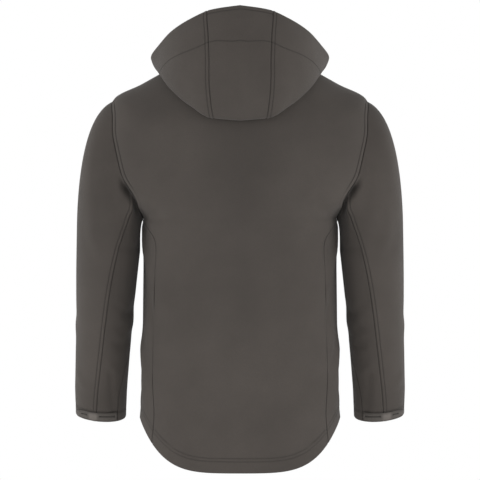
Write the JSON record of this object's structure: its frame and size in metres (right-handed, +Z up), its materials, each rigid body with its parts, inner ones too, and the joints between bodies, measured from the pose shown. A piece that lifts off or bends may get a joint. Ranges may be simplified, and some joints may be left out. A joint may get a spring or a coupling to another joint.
{
  "type": "hooded softshell jacket",
  "caption": "Hooded softshell jacket filled out as if worn, hood lying down the back, closed front zip, shaped cuffs with tabs and a dropped back hem.",
  "frame": {"origin": "middle of the neck hole, level with the high points of the shoulders, where the wearer holds it up", "axes": "+Z up along the body, +X to the wearer's left, -Y to the front with the zip, +Y to the back with the hood"},
  "size_m": [0.6328, 0.311, 0.8691],
  "materials": {
    "softshell": "matt bonded softshell",
    "cuff_tab": "matt moulded",
    "zip_tape": "woven tape",
    "zip_chain": "moulded teeth",
    "zip_metal": "satin"
  },
  "bodies": {
    "garment": {"back": "softshell", "collar": "softshell", "hood_centre": "softshell", "front_left": "softshell", "front_right": "softshell", "side_left": "softshell", "side_right": "softshell", "sleeve_upper_left": "softshell", "sleeve_upper_right": "softshell", "sleeve_under_left": "softshell", "sleeve_under_right": "softshell", "hood_side_left": "softshell", "hood_side_right": "softshell", "cuff_tab_left": "cuff_tab", "cuff_tab_right": "cuff_tab", "zip_tape_left": "zip_tape", "zip_tape_right": "zip_tape", "zip_chain": "zip_chain", "zip_slider": "zip_metal"},
    "zip_pull": {"zip_pull": "zip_metal"}
  },
  "joints": [
    {"name": "zip_pull_hinge", "type": "hinge", "parent": "garment", "child": "zip_pull", "pos_m": [0, -0.08519, -0.03651], "axis": [-1, 0, 0], "range_deg": [0, 150]}
  ]
}
